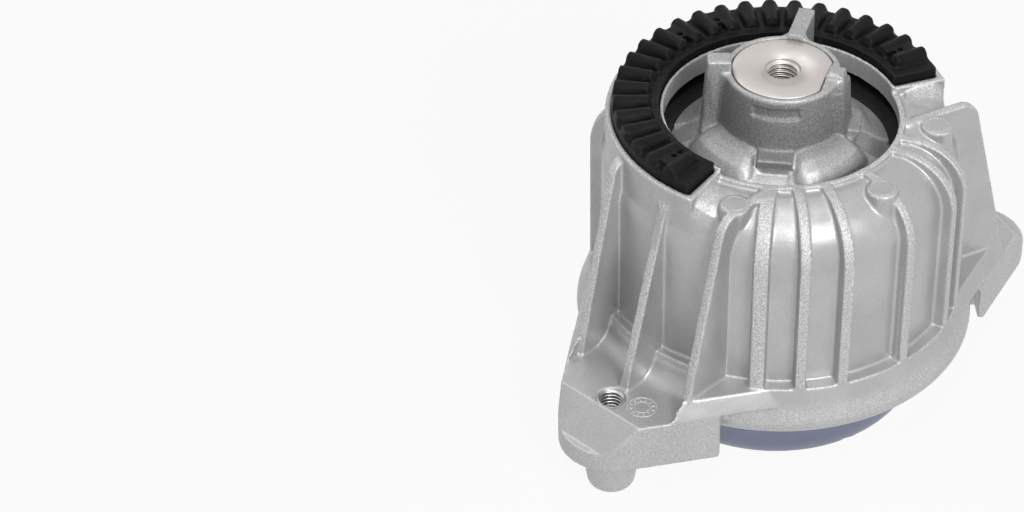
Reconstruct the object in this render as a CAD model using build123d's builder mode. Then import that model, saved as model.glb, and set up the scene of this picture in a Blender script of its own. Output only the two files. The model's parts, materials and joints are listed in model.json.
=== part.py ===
from build123d import *
import os
from math import acos, atan2, cos, degrees, hypot, radians, sin, sqrt

# Hydraulic engine mount, millimetres, +Z up, resting on its steel cap
# The origin is the centre of the cap's flat face, and +X runs from ear to ear

# Clearances between pieces that seat in each other
fit = 0.1
bond_line = 0.05

# Ears with their threaded holes and locating cones
ear_hole_x = 72.6
ear_droop = 9.5
ear_tip_r = 15.8
ear_tip_z = 25.4
ear_ramp_gap = 0.7
ear_ramp_length = 8.2
ear_bottom_z = 18.9
ear_top_z = 34.5
ear_arm_reach = 26.5
ear_arm_width = 1.8
ear_groove_r = 63.8
ear_groove_z = 29.8
arm_shelf_lean = 2.8
arm_shelf_reach = 44.0
ear_ledge_reach = 3.2
ear_ledge_height = 8.0
ear_ledge_span = 21.5
ear_thread_bore_r = 3.4
ear_insert_r = 4.3
ear_insert_length = 13.0
ear_insert_depth = 0.4
ear_bolt_bore_r = 4.23
cone_base_r = 9.87
cone_shoulder_r = 7.3
cone_tip_r = 5.1
cone_height = 17.2
cone_round = 3.0
lightening_corners = [(71.9, 15.0), (65.5, 11.3), (64.4, 20.7)]
lightening_depth = 9.0
lightening_round = 0.9

# Housing wall, shoulder and top opening
opening_r = 34.8
rim_band = 1.8
rim_groove_depth = 1.5
rim_groove_reach = 3.0
housing_top_z = 98.5
panel_r = 53.0
panel_round = 15.0
rib_height = 4.0
rib_round = 16.0
wall = 4.4
shoulder_z = 82.5
pocket_floor_z = 40.0

# Flange ring and the lip round the cap
bore_r = 49.5
lip_z = 19.5
lip_width = 2.0
flange_r = 60.4
flange_z = 29.3
flange_hollow = (53.6, 22.9)
flange_turn = (56.2, 24.2)
flange_bead = (59.3, 25.9)
sleeve_stop_z = 74.0

# Ribs of the shell: angle in degrees and width in millimetres
front_ribs = [(-135.5, 4.4), (-122.5, 3.2), (-109.5, 3.2), (-88.0, 3.0), (-66.0, 3.0), (-56.0, 3.0)]
back_rib_count = 6
back_rib_width = 3.2
back_rib_span = 85.0

# Gussets that tie each ear to the shoulder
gusset_offset = 20.8
gusset_width = 3.0
gusset_top_u = {"left": 47.4, "right": 51.0}
gusset_foot_u = {"left": 65.7, "right": 69.7}
middle_gusset_top_u = 51.0
middle_gusset_gap = 0.6
gusset_round = 6.5

# Ejector marks on the shoulder: distance from the axis, angle and radius
ejector_marks = [(47.0, -91.0, 2.9), (47.5, -145.5, 3.1), (47.0, -46.0, 3.2)]
ejector_mark_z = 98.2
ejector_mark_depth = 12.0

# Ribbed rubber pad in its seat
pad_start = -17.5
pad_end = 197.5
pad_seat_z = 96.0
pad_rim_wall = 1.0
pad_rim_z = 100.7
pad_lip_z = 100.0
pad_lip_width = 1.8
pad_outer_r = 50.1
pad_inner_r = 36.1
pad_base_height = 6.8
pad_ridge_height = 3.0
pad_ridge_width = 4.2
pad_ridge_inner_r = 39.4
pad_ridge_pitch = 9.0
pad_ridge_count = 23
pad_ridge_inset = 0.4
pad_blocks = [0, 9, 11, 21]
pad_block_outer_r = 48.0
pad_block_z = 105.2
pad_vent_r = 0.9
pad_vent_depth = 4.0
pad_vent_at_r = 43.5

# Core tower, its lugs and its base
core_top_z = 114.6
core_top_r = 17.0
core_foot_r = 18.6
core_foot_z = 97.5
core_base_r = 32.7
core_base_z = 88.0
core_flange_r = 40.0
core_flange_z = 86.0
core_flange_thickness = 3.4
core_waist_r = 28.0
core_base_hollow = (24.0, 92.2)
core_stub_r = 26.0
core_stub_z = 72.0
core_nose_r = 14.0
core_nose_z = 58.0
core_lugs = [
    (143.0, 22.2, 5.6, 119.0),
    (36.0, 30.2, 5.0, 116.4),
    (-54.0, 19.2, 10.0, 113.0),
    (-52.0, 18.2, 5.6, 116.4),
]
core_lug_draft = 2.0
core_lug_flare = 3.5
core_lug_rise = 0.6
stop_block_width = 10.5
stop_block_length = 5.4
stop_block_r = 21.1
stop_block_foot_z = 91.0
stop_block_z = 98.3
stop_block_angles = [-135.0, -45.0, 45.0, 135.0]
base_groove_width = 9.4
base_groove_start_r = 22.0
base_groove_depth = 2.4
core_step_angle = -137.0
core_step_span = 48.0
core_step_height = 3.6
core_step_r = 16.6
core_step_drop = 4.4

# Steel insert in the core
insert_disc_r = 15.2
insert_disc_thickness = 4.0
insert_proud = 0.6
insert_shank_r = 9.0
insert_length = 34.0
insert_flat = 13.0
insert_flat_angle = -56.0
hub_thread_r = 4.25
hub_thread_depth = 28.0
hub_countersink_r = 5.25

# Pressed sleeve, spring ring and rubber spring
sleeve_wall = 1.6
sleeve_crimp_z = 28.4
sleeve_crimp_width = 2.8
spring_ring_toe = 5.0
spring_ring_lip = 1.6
spring_ring_foot = 3.0
spring_ring_top_z = 68.0
spring_top_r = 38.0
spring_dome_r = 28.0
spring_dome_z = 60.0
rebound_stop_r = 41.5
rebound_stop_height = 3.6

# Steel cap
cap_r = 46.4
cap_round = 11.9
cap_wall = 1.6
cap_flange_thickness = 1.6
cap_flange_width = 1.2
vent_r = 2.5
vent_angle = -98.0
vent_tilt = 42.0

# Hydraulic stack, from the cap flange upwards
diaphragm_bead = 2.3
diaphragm_wall = 1.6
diaphragm_skirt_r = 43.0
diaphragm_roll_r = 5.8
diaphragm_roll_z = 20.0
diaphragm_crown_z = 29.4
diaphragm_ring_thickness = 1.5
diaphragm_ring_width = 6.0
lower_plate_thickness = 6.5
upper_plate_thickness = 5.0
track_seal_thickness = 0.9
track_mid_r = 39.0
track_width = 6.0
track_depth = 4.5
track_sweep = 300.0
decoupler_r = 24.0
decoupler_thickness = 2.6
decoupler_play = 0.4
window_r = 1.8
window_ring_r = 12.0
window_count = 8
fill_plug_r = 2.0
fill_plug_head_r = 3.2
fill_plug_head = 0.8
fill_plug_at_r = 30.0
edge_seal_height = 2.6

# Values worked out from the sizes above
rib_r = panel_r + rib_height
rib_root_r = panel_r - wall / 2
ear_reach = ear_hole_x / cos(radians(ear_droop))
ear_angles = {"left": 180.0 + ear_droop, "right": -ear_droop}
cone_tip_z = ear_bottom_z - cone_height
cone_side_z = cone_tip_z + cone_round
eighth = cos(radians(45))
ledge_r = panel_r + ear_ledge_reach
ledge_z = ear_top_z + ear_ledge_height
ledge_end_r = ledge_r + ear_ledge_height
gusset_start_u = sqrt((opening_r + rim_band) ** 2 - gusset_offset**2)
arm_u = (ear_groove_r + ear_arm_width) * cos(radians(ear_arm_reach))
arm_v = (ear_groove_r + ear_arm_width) * sin(radians(ear_arm_reach))
arm_run = hypot(arm_u - ear_reach, arm_v)
arm_normal = degrees(atan2(arm_v, arm_u - ear_reach) - acos(ear_tip_r / arm_run))
arm_distance = ear_reach * cos(radians(arm_normal)) + ear_tip_r
ramp_start_u = ear_reach + ear_insert_r + ear_ramp_gap
tip_end_u = ear_reach + ear_tip_r + 1
gusset_top_z = housing_top_z - 0.2
groove_r = opening_r + rim_band
groove_end_r = groove_r + rim_groove_reach
groove_z = housing_top_z - rim_groove_depth
panel_centre_r = panel_r - panel_round
groove_end_z = shoulder_z + sqrt(panel_round**2 - (groove_end_r - panel_centre_r) ** 2)
ceiling_z = housing_top_z - wall
ceiling_round = ceiling_z - shoulder_z
inner_wall_r = opening_r + pad_rim_wall + ceiling_round
pad_lip_r = pad_outer_r + fit + pad_lip_width
pad_middle_r = (pad_inner_r + pad_outer_r) / 2
gap_turn = degrees(4 * fit / pad_middle_r)
lip_turn = gap_turn + degrees(pad_lip_width / pad_middle_r)
sleeve_r = bore_r - fit
stack_r = sleeve_r - sleeve_wall - fit
cap_flange_z = sleeve_crimp_z + sleeve_wall
diaphragm_z = cap_flange_z + cap_flange_thickness
diaphragm_ring_z = diaphragm_z + diaphragm_bead
lower_plate_z = diaphragm_ring_z + diaphragm_ring_thickness
upper_plate_z = lower_plate_z + lower_plate_thickness
track_seal_z = upper_plate_z + upper_plate_thickness
spring_ring_z = track_seal_z + track_seal_thickness
core_flange_bottom_z = core_flange_z - core_flange_thickness
insert_top_z = core_top_z + insert_proud
insert_disc_z = insert_top_z - insert_disc_thickness


def polar(distance, angle):
    return (distance * cos(radians(angle)), distance * sin(radians(angle)))


def beside(distance, angle, offset):
    """A point along a direction from the axis, moved sideways to its left."""
    x, y = polar(distance, angle)
    dx, dy = polar(offset, angle + 90)
    return (x + dx, y + dy)


def radial_plane(angle, offset=0.0):
    """An upright plane through the axis: its x points outward and its y points up."""
    dx, dy = polar(1, angle)
    return Plane(origin=(0, 0, 0), x_dir=(dx, dy, 0), z_dir=(dy, -dx, 0)).offset(offset)


def ear_outline(angle):
    """Corner points of an ear in plan: its two arms, and where they run onto the tip's round."""
    tip_x, tip_y = polar(ear_tip_r, arm_normal)
    half = [polar(panel_r - wall, ear_arm_reach), (arm_u, arm_v), (ear_reach + tip_x, tip_y)]
    first = [beside(along, angle, across) for along, across in half]
    second = [beside(along, angle, -across) for along, across in reversed(half)]
    return [*first, *second]


def arm_shelf(angle, turn, lean):
    """Corner points in plan of the shelf outside a gusset, with the edge of the arm moved inward."""
    near_u = (arm_distance - lean - gusset_offset * sin(radians(arm_normal))) / cos(radians(arm_normal))
    far_r = (arm_distance - lean) / cos(radians(arm_normal - arm_shelf_reach))
    corners = [(panel_r - 2 * wall, gusset_offset), (near_u, gusset_offset)]
    corners += [polar(far_r, arm_shelf_reach), polar(panel_r - wall, arm_shelf_reach)]
    return [beside(along, angle, turn * across) for along, across in corners]


back_rib_step = back_rib_span / (back_rib_count - 1)
back_ribs = [(90 - back_rib_span / 2 + back_rib_step * n, back_rib_width) for n in range(back_rib_count)]

# Housing: one die casting with its ribs, gussets, ears and locating cones
with BuildPart() as housing:
    # Plates of the two ears, open over the groove beside the flange
    for angle in ear_angles.values():
        with BuildSketch(Plane.XY.offset(ear_bottom_z)):
            Polygon(*ear_outline(angle), align=None)
            with Locations(polar(ear_reach, angle)):
                Circle(ear_tip_r)
        extrude(amount=ear_top_z - ear_bottom_z)
    with BuildSketch(Plane.XY.offset(ear_bottom_z)):
        Circle(ear_groove_r)
    extrude(amount=ear_groove_z - ear_bottom_z, mode=Mode.SUBTRACT)
    # Ramps from the flat top of each ear down to its tip
    for angle in ear_angles.values():
        with BuildSketch(radial_plane(angle)):
            Polygon(
                (ramp_start_u, ear_top_z),
                (ramp_start_u + ear_ramp_length, ear_tip_z),
                (tip_end_u, ear_tip_z),
                (tip_end_u, ear_top_z + 1),
                (ramp_start_u, ear_top_z + 1),
                align=None,
            )
        extrude(amount=ear_tip_r, both=True, mode=Mode.SUBTRACT)
    # Shelves that fill the arms outside the gussets up to the pocket floor
    for angle in ear_angles.values():
        for turn in (1, -1):
            for level, lean in ((ear_top_z, 0), (pocket_floor_z, arm_shelf_lean)):
                with BuildSketch(Plane.XY.offset(level)):
                    Polygon(*arm_shelf(angle, turn, lean), align=None)
            loft(ruled=True)
    # Smooth shell with its flange ring, and the groove behind the opening's rim
    with BuildSketch(Plane.XZ):
        with BuildLine():
            Polyline((0, lip_z), (bore_r + lip_width, lip_z))
            ThreePointArc((bore_r + lip_width, lip_z), flange_hollow, flange_turn)
            ThreePointArc(flange_turn, flange_bead, (flange_r, flange_z))
            Polyline((flange_r, flange_z), (rib_r, pocket_floor_z), (panel_r, pocket_floor_z))
            Line((panel_r, pocket_floor_z), (panel_r, shoulder_z))
            ThreePointArc(
                (panel_r, shoulder_z),
                (panel_centre_r + panel_round * eighth, shoulder_z + panel_round * eighth),
                (groove_end_r, groove_end_z),
            )
            Polyline((groove_end_r, groove_end_z), (groove_r, groove_z), (groove_r, housing_top_z))
            Polyline((groove_r, housing_top_z), (0, housing_top_z), (0, lip_z))
        make_face()
    revolve(axis=Axis.Z)
    # Upright ribs that run over the shoulder to the rim
    for angle, width in front_ribs + back_ribs:
        with BuildSketch(radial_plane(angle)):
            with BuildLine():
                Polyline((rib_r, shoulder_z), (rib_r, pocket_floor_z), (rib_root_r, pocket_floor_z))
                Polyline((rib_root_r, pocket_floor_z), (rib_root_r, shoulder_z), (opening_r, ceiling_z))
                Line((opening_r, ceiling_z), (opening_r, housing_top_z))
                Line((opening_r, housing_top_z), (rib_r - rib_round, housing_top_z))
                ThreePointArc(
                    (rib_r - rib_round, housing_top_z),
                    (rib_r - rib_round * (1 - eighth), shoulder_z + rib_round * eighth),
                    (rib_r, shoulder_z),
                )
            make_face()
        extrude(amount=width / 2, both=True)
    # Ledges where the wall runs out onto the ears
    for angle in ear_angles.values():
        with BuildSketch(radial_plane(angle - ear_ledge_span)):
            with BuildLine():
                Polyline((ledge_r, ledge_z), (panel_r - 1, ledge_z), (panel_r - 1, ear_top_z - 1))
                Polyline((panel_r - 1, ear_top_z - 1), (ledge_end_r, ear_top_z - 1), (ledge_end_r, ear_top_z))
                ThreePointArc(
                    (ledge_end_r, ear_top_z),
                    (ledge_end_r - ear_ledge_height * eighth, ledge_z - ear_ledge_height * eighth),
                    (ledge_r, ledge_z),
                )
            make_face()
        revolve(axis=Axis.Z, revolution_arc=2 * ear_ledge_span)
    # Two outer gussets on each ear, which reach the top
    for side, angle in ear_angles.items():
        for offset in (-gusset_offset, gusset_offset):
            with BuildSketch(radial_plane(angle, offset)) as gusset:
                Polygon(
                    (gusset_start_u, housing_top_z / 2),
                    (gusset_start_u, gusset_top_z),
                    (gusset_top_u[side] + gusset_round / 2, gusset_top_z),
                    (gusset_foot_u[side], ear_top_z),
                    (gusset_foot_u[side], ear_groove_z),
                    (panel_r, ear_groove_z),
                    align=None,
                )
                fillet(gusset.vertices().group_by(Axis.Y)[-1].sort_by(Axis.X)[-1], gusset_round)
            extrude(amount=gusset_width / 2, both=True)
    # The middle gusset of each ear, which ends at the threaded hole
    for angle in ear_angles.values():
        with BuildSketch(radial_plane(angle)):
            Polygon(
                (panel_centre_r, housing_top_z / 2),
                (panel_centre_r, gusset_top_z),
                (middle_gusset_top_u, gusset_top_z),
                (ear_reach - ear_insert_r - middle_gusset_gap, ear_top_z),
                (ear_reach - ear_insert_r - middle_gusset_gap, ear_groove_z),
                (panel_r, ear_groove_z),
                align=None,
            )
        extrude(amount=gusset_width / 2, both=True)
    # Round ejector marks on the shoulder
    for distance, angle, radius in ejector_marks:
        with BuildSketch(Plane.XY.offset(ejector_mark_z - ejector_mark_depth)):
            with Locations(polar(distance, angle)):
                Circle(radius)
        extrude(amount=ejector_mark_depth)
    # Seat of the rubber pad with its lip, then the thin wall round the opening
    seat_start = radial_plane(pad_start - lip_turn)
    seat_sweep = pad_end - pad_start + 2 * lip_turn
    for outer_r, top_z in ((pad_lip_r, pad_lip_z), (opening_r + pad_rim_wall, pad_rim_z)):
        with BuildSketch(seat_start):
            with Locations(((opening_r + outer_r) / 2, (shoulder_z + top_z) / 2)):
                Rectangle(outer_r - opening_r, top_z - shoulder_z)
        revolve(axis=Axis.Z, revolution_arc=seat_sweep)
    with BuildSketch(radial_plane(pad_start - gap_turn)):
        seat_inner_r = opening_r + pad_rim_wall
        seat_outer_r = pad_outer_r + fit
        with Locations(((seat_inner_r + seat_outer_r) / 2, (pad_seat_z + core_top_z) / 2)):
            Rectangle(seat_outer_r - seat_inner_r, core_top_z - pad_seat_z)
    revolve(axis=Axis.Z, revolution_arc=pad_end - pad_start + 2 * gap_turn, mode=Mode.SUBTRACT)
    # Locating cones under the ears
    for angle in ear_angles.values():
        with BuildSketch(radial_plane(angle)):
            with BuildLine():
                Polyline((ear_reach, ear_bottom_z + 1), (ear_reach + cone_base_r, ear_bottom_z + 1))
                Line((ear_reach + cone_base_r, ear_bottom_z + 1), (ear_reach + cone_base_r, ear_bottom_z))
                Line((ear_reach + cone_base_r, ear_bottom_z), (ear_reach + cone_shoulder_r, cone_side_z))
                RadiusArc(
                    (ear_reach + cone_shoulder_r, cone_side_z),
                    (ear_reach + cone_tip_r, cone_tip_z),
                    cone_round,
                )
                Polyline((ear_reach + cone_tip_r, cone_tip_z), (ear_reach, cone_tip_z))
                Line((ear_reach, cone_tip_z), (ear_reach, ear_bottom_z + 1))
            make_face()
        ear_x, ear_y = polar(ear_reach, angle)
        revolve(axis=Axis((ear_x, ear_y, 0), (0, 0, 1)))
    # Bolt holes through the ears, wider where the thread inserts sit
    for angle in ear_angles.values():
        with BuildSketch(Plane.XY.offset(cone_tip_z - 1)):
            with Locations(polar(ear_reach, angle)):
                Circle(ear_bolt_bore_r)
        extrude(amount=ear_top_z - cone_tip_z + 2, mode=Mode.SUBTRACT)
        with BuildSketch(Plane.XY.offset(ear_top_z + 1)):
            with Locations(polar(ear_reach, angle)):
                Circle(ear_insert_r)
        extrude(amount=-(ear_insert_length + 1 + ear_insert_depth), mode=Mode.SUBTRACT)
    # Three-cornered lightening pockets under the ears
    for angle in ear_angles.values():
        for turn in (1, -1):
            corners = [beside(along, angle, turn * across) for along, across in lightening_corners]
            with BuildSketch(Plane.XY.offset(ear_bottom_z)) as lightening:
                Polygon(*corners, align=None)
                fillet(lightening.vertices(), lightening_round)
            extrude(amount=lightening_depth, mode=Mode.SUBTRACT)
    # Room inside for the spring and the hydraulic stack
    with BuildSketch(Plane.XZ):
        with BuildLine():
            Polyline((0, lip_z), (bore_r, lip_z), (bore_r, sleeve_stop_z), (inner_wall_r, sleeve_stop_z))
            Line((inner_wall_r, sleeve_stop_z), (inner_wall_r, shoulder_z))
            ThreePointArc(
                (inner_wall_r, shoulder_z),
                (inner_wall_r - ceiling_round * (1 - eighth), shoulder_z + ceiling_round * eighth),
                (inner_wall_r - ceiling_round, ceiling_z),
            )
            Polyline((inner_wall_r - ceiling_round, ceiling_z), (opening_r, ceiling_z))
            Polyline((opening_r, ceiling_z), (opening_r, core_top_z), (0, core_top_z), (0, lip_z))
        make_face()
    revolve(axis=Axis.Z, mode=Mode.SUBTRACT)
housing.part.label = "housing"

# Ribbed rubber pad in the seat
pad_base_z = pad_seat_z + fit
pad_valley_z = pad_base_z + pad_base_height
pad_ridge_z = pad_valley_z + pad_ridge_height
first_ridge = 90 - pad_ridge_pitch * (pad_ridge_count - 1) / 2
with BuildPart() as stop_pad:
    with BuildSketch(radial_plane(pad_start)):
        with Locations((pad_middle_r, pad_base_z + pad_base_height / 2)):
            Rectangle(pad_outer_r - pad_inner_r, pad_base_height)
    revolve(axis=Axis.Z, revolution_arc=pad_end - pad_start)
    # Round-topped ridges that run outward
    for number in range(pad_ridge_count):
        angle = first_ridge + pad_ridge_pitch * number
        start_x, start_y = polar(pad_ridge_inner_r, angle)
        out_x, out_y = polar(1, angle)
        across = Plane(origin=(start_x, start_y, 0), x_dir=(-out_y, out_x, 0), z_dir=(out_x, out_y, 0))
        round_z = pad_ridge_z - pad_ridge_width / 2
        with BuildSketch(across):
            with Locations((0, (pad_base_z + round_z) / 2)):
                Rectangle(pad_ridge_width, round_z - pad_base_z)
            with Locations((0, round_z)):
                Circle(pad_ridge_width / 2)
        extrude(amount=pad_outer_r - pad_ridge_inner_r - pad_ridge_inset)
    # Flat blocks that join a ridge to the next, each with a vent
    for number in pad_blocks:
        angle = first_ridge + pad_ridge_pitch * number
        with BuildSketch(radial_plane(angle)):
            with Locations(((pad_ridge_inner_r + pad_block_outer_r) / 2, (pad_base_z + pad_block_z) / 2)):
                Rectangle(pad_block_outer_r - pad_ridge_inner_r, pad_block_z - pad_base_z)
        revolve(axis=Axis.Z, revolution_arc=pad_ridge_pitch)
        with BuildSketch(Plane.XY.offset(pad_block_z)):
            with Locations(polar(pad_vent_at_r, angle + pad_ridge_pitch / 2)):
                Circle(pad_vent_r)
        extrude(amount=-pad_vent_depth, mode=Mode.SUBTRACT)
stop_pad.part.label = "stop_pad"

# Cast core: tower, base, flange under the shoulder and nose inside the spring
with BuildPart() as core:
    with BuildSketch(Plane.XZ):
        with BuildLine():
            Polyline((0, core_nose_z), (core_nose_r, core_nose_z), (core_stub_r, core_stub_z))
            Polyline((core_stub_r, core_stub_z), (core_waist_r, core_flange_bottom_z))
            Polyline((core_waist_r, core_flange_bottom_z), (core_flange_r, core_flange_bottom_z))
            Polyline((core_flange_r, core_flange_bottom_z), (core_flange_r, core_flange_z))
            Polyline((core_flange_r, core_flange_z), (core_base_r, core_flange_z), (core_base_r, core_base_z))
            ThreePointArc((core_base_r, core_base_z), core_base_hollow, (core_foot_r, core_foot_z))
            Polyline((core_foot_r, core_foot_z), (core_top_r, core_top_z), (0, core_top_z), (0, core_nose_z))
        make_face()
    revolve(axis=Axis.Z)
    # Grooves that run down the base below the stop blocks
    for angle in stop_block_angles:
        with BuildSketch(radial_plane(angle)):
            Polygon(
                (base_groove_start_r, core_foot_z + 2),
                (base_groove_start_r, core_foot_z - 2 * base_groove_depth),
                (core_base_r + 1, core_base_z - base_groove_depth),
                (core_base_r + 1, core_foot_z + 2),
                align=None,
            )
        extrude(amount=base_groove_width / 2, both=True, mode=Mode.SUBTRACT)
    # Upright lugs round the top
    for angle, reach, width, top_z in core_lugs:
        with BuildSketch(radial_plane(angle)):
            Polygon(
                (insert_flat + fit, core_base_z),
                (insert_flat + fit, top_z),
                (reach, top_z),
                (reach + core_lug_draft, core_base_z),
                align=None,
            )
        extrude(amount=width / 2, both=True)
        # The tower widens where a lug stands on it
        with BuildSketch(Plane.XY.offset(core_base_z)):
            Polygon(
                beside(insert_flat + fit, angle, -width / 2 - core_lug_flare),
                beside(core_foot_r, angle, -width / 2),
                beside(core_foot_r, angle, width / 2),
                beside(insert_flat + fit, angle, width / 2 + core_lug_flare),
                align=None,
            )
        extrude(amount=min(core_top_z + core_lug_rise, top_z) - core_base_z)
    # Stop blocks on the base
    for angle in stop_block_angles:
        with BuildSketch(radial_plane(angle)):
            Polygon(
                (core_top_r, stop_block_foot_z),
                (core_top_r, stop_block_z),
                (stop_block_r + stop_block_length / 2, stop_block_z),
                (stop_block_r + stop_block_length / 2, core_foot_z - 1),
                (stop_block_r - stop_block_length / 2, stop_block_foot_z),
                align=None,
            )
        extrude(amount=stop_block_width / 2, both=True)
    # Seat of the steel insert, which has one flat
    with BuildSketch(Plane.XY.offset(insert_disc_z)):
        Circle(insert_disc_r + fit)
        with Locations(polar(insert_flat + fit + insert_disc_r, insert_flat_angle)):
            Rectangle(2 * insert_disc_r, 4 * insert_disc_r, rotation=insert_flat_angle, mode=Mode.SUBTRACT)
    extrude(amount=insert_disc_thickness + core_top_r, mode=Mode.SUBTRACT)
    with BuildSketch(Plane.XY.offset(insert_disc_z)):
        Circle(insert_shank_r + fit)
    extrude(amount=-(insert_length - insert_disc_thickness + fit), mode=Mode.SUBTRACT)
    # Shallow step on the tower below the rim
    with BuildSketch(radial_plane(core_step_angle - core_step_span / 2)):
        with Locations(((core_step_r + core_foot_r) / 2, core_top_z - core_step_drop)):
            Rectangle(core_foot_r - core_step_r, core_step_height)
    revolve(axis=Axis.Z, revolution_arc=core_step_span, mode=Mode.SUBTRACT)
core.part.label = "core"

# Threaded steel insert
with BuildPart() as core_insert:
    with BuildSketch(Plane.XY.offset(insert_disc_z + bond_line)):
        Circle(insert_disc_r)
        with Locations(polar(insert_flat + insert_disc_r, insert_flat_angle)):
            Rectangle(2 * insert_disc_r, 4 * insert_disc_r, rotation=insert_flat_angle, mode=Mode.SUBTRACT)
    extrude(amount=insert_disc_thickness - bond_line)
    with BuildSketch(Plane.XY.offset(insert_disc_z + bond_line)):
        Circle(insert_shank_r)
    extrude(amount=-(insert_length - insert_disc_thickness))
    with BuildSketch(Plane.XY.offset(insert_top_z)):
        Circle(hub_thread_r)
    extrude(amount=-hub_thread_depth, mode=Mode.SUBTRACT)
    mouth = core_insert.edges().filter_by(GeomType.CIRCLE).group_by(Axis.Z)[-1].sort_by(SortBy.RADIUS)[0]
    chamfer(mouth, hub_countersink_r - hub_thread_r)
core_insert.part.label = "core_insert"

# Steel thread inserts of the two ears
ear_inserts = {}
for side, angle in ear_angles.items():
    with BuildPart() as ear_insert:
        with BuildSketch(Plane.XY.offset(ear_top_z - ear_insert_depth)):
            with Locations(polar(ear_reach, angle)):
                Circle(ear_insert_r - bond_line)
                Circle(ear_thread_bore_r, mode=Mode.SUBTRACT)
        extrude(amount=-ear_insert_length)
    ear_insert.part.label = "ear_insert_" + side
    ear_inserts[side] = ear_insert.part

# Pressed steel sleeve with its crimped lip
with BuildPart() as outer_sleeve:
    with BuildSketch(Plane.XZ):
        Polygon(
            (sleeve_r, sleeve_crimp_z),
            (sleeve_r, sleeve_stop_z - fit),
            (sleeve_r - sleeve_wall, sleeve_stop_z - fit),
            (sleeve_r - sleeve_wall, cap_flange_z),
            (sleeve_r - sleeve_crimp_width, cap_flange_z),
            (sleeve_r - sleeve_crimp_width, sleeve_crimp_z),
            align=None,
        )
    revolve(axis=Axis.Z)
outer_sleeve.part.label = "outer_sleeve"

# Bonded steel ring that the spring hangs in
with BuildPart() as spring_ring:
    with BuildSketch(Plane.XZ):
        Polygon(
            (stack_r, spring_ring_z),
            (stack_r, spring_ring_top_z),
            (stack_r - spring_ring_lip, spring_ring_top_z),
            (stack_r - spring_ring_toe, spring_ring_z + spring_ring_foot),
            (stack_r - spring_ring_toe, spring_ring_z),
            align=None,
        )
    revolve(axis=Axis.Z)
spring_ring.part.label = "spring_ring"

# Rubber spring, a cone from the core down to the ring
with BuildPart() as main_spring:
    with BuildSketch(Plane.XZ):
        with BuildLine():
            Polyline(
                (core_nose_r + bond_line, core_nose_z),
                (core_stub_r + bond_line, core_stub_z),
                (core_waist_r + bond_line, core_flange_bottom_z - bond_line),
                (spring_top_r, core_flange_bottom_z - bond_line),
                (stack_r - spring_ring_lip - bond_line, spring_ring_top_z),
                (stack_r - spring_ring_toe - bond_line, spring_ring_z + spring_ring_foot),
                (stack_r - spring_ring_toe - bond_line, spring_ring_z + bond_line),
            )
            ThreePointArc(
                (stack_r - spring_ring_toe - bond_line, spring_ring_z + bond_line),
                (spring_dome_r, spring_dome_z),
                (core_nose_r + bond_line, core_nose_z),
            )
        make_face()
    revolve(axis=Axis.Z)
main_spring.part.label = "main_spring"

# Rubber ring on the core's flange, which meets the shoulder on rebound
with BuildPart() as rebound_stop:
    with BuildSketch(Plane.XZ):
        Polygon(
            (core_base_r + fit, core_flange_z + bond_line),
            (core_base_r + fit, core_flange_z + rebound_stop_height / 2),
            (core_flange_r - rebound_stop_height, core_flange_z + rebound_stop_height),
            (rebound_stop_r, core_flange_z + rebound_stop_height),
            (rebound_stop_r, core_flange_bottom_z),
            (core_flange_r + bond_line, core_flange_bottom_z),
            (core_flange_r + bond_line, core_flange_z + bond_line),
            align=None,
        )
    revolve(axis=Axis.Z)
rebound_stop.part.label = "rebound_stop"

# Seal between the spring ring and the channel plates
with BuildPart() as track_seal:
    with BuildSketch(Plane.XY.offset(track_seal_z)):
        Circle(stack_r)
        Circle(stack_r - spring_ring_toe, mode=Mode.SUBTRACT)
    extrude(amount=track_seal_thickness)
track_seal.part.label = "track_seal"

# Upper channel plate
with BuildPart() as upper_channel_plate:
    with BuildSketch(Plane.XY.offset(upper_plate_z)):
        Circle(stack_r)
        with PolarLocations(window_ring_r, window_count):
            Circle(window_r, mode=Mode.SUBTRACT)
        Circle(window_r, mode=Mode.SUBTRACT)
        with Locations(polar(track_mid_r, track_sweep)):
            Circle(track_width / 2 - fit, mode=Mode.SUBTRACT)
        with Locations(polar(fill_plug_at_r, 180)):
            Circle(fill_plug_r + fit, mode=Mode.SUBTRACT)
    extrude(amount=upper_plate_thickness)
upper_channel_plate.part.label = "upper_channel_plate"

# Lower channel plate with the long round channel and the membrane's seat
with BuildPart() as lower_channel_plate:
    with BuildSketch(Plane.XY.offset(lower_plate_z)):
        Circle(stack_r)
        with PolarLocations(window_ring_r, window_count):
            Circle(window_r, mode=Mode.SUBTRACT)
        Circle(window_r, mode=Mode.SUBTRACT)
        with Locations(polar(track_mid_r, 0)):
            Circle(track_width / 2 - fit, mode=Mode.SUBTRACT)
    extrude(amount=lower_plate_thickness)
    with BuildSketch(Plane.XZ):
        with Locations((track_mid_r, upper_plate_z - track_depth / 2)):
            Rectangle(track_width, track_depth)
    revolve(axis=Axis.Z, revolution_arc=track_sweep, mode=Mode.SUBTRACT)
    with BuildSketch(Plane.XY.offset(upper_plate_z)):
        Circle(decoupler_r + decoupler_play)
    extrude(amount=-(decoupler_thickness + decoupler_play), mode=Mode.SUBTRACT)
lower_channel_plate.part.label = "lower_channel_plate"

# Loose membrane between the two plates
with BuildPart() as decoupler:
    with BuildSketch(Plane.XY.offset(upper_plate_z - decoupler_thickness - decoupler_play)):
        Circle(decoupler_r)
    extrude(amount=decoupler_thickness)
decoupler.part.label = "decoupler"

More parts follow.
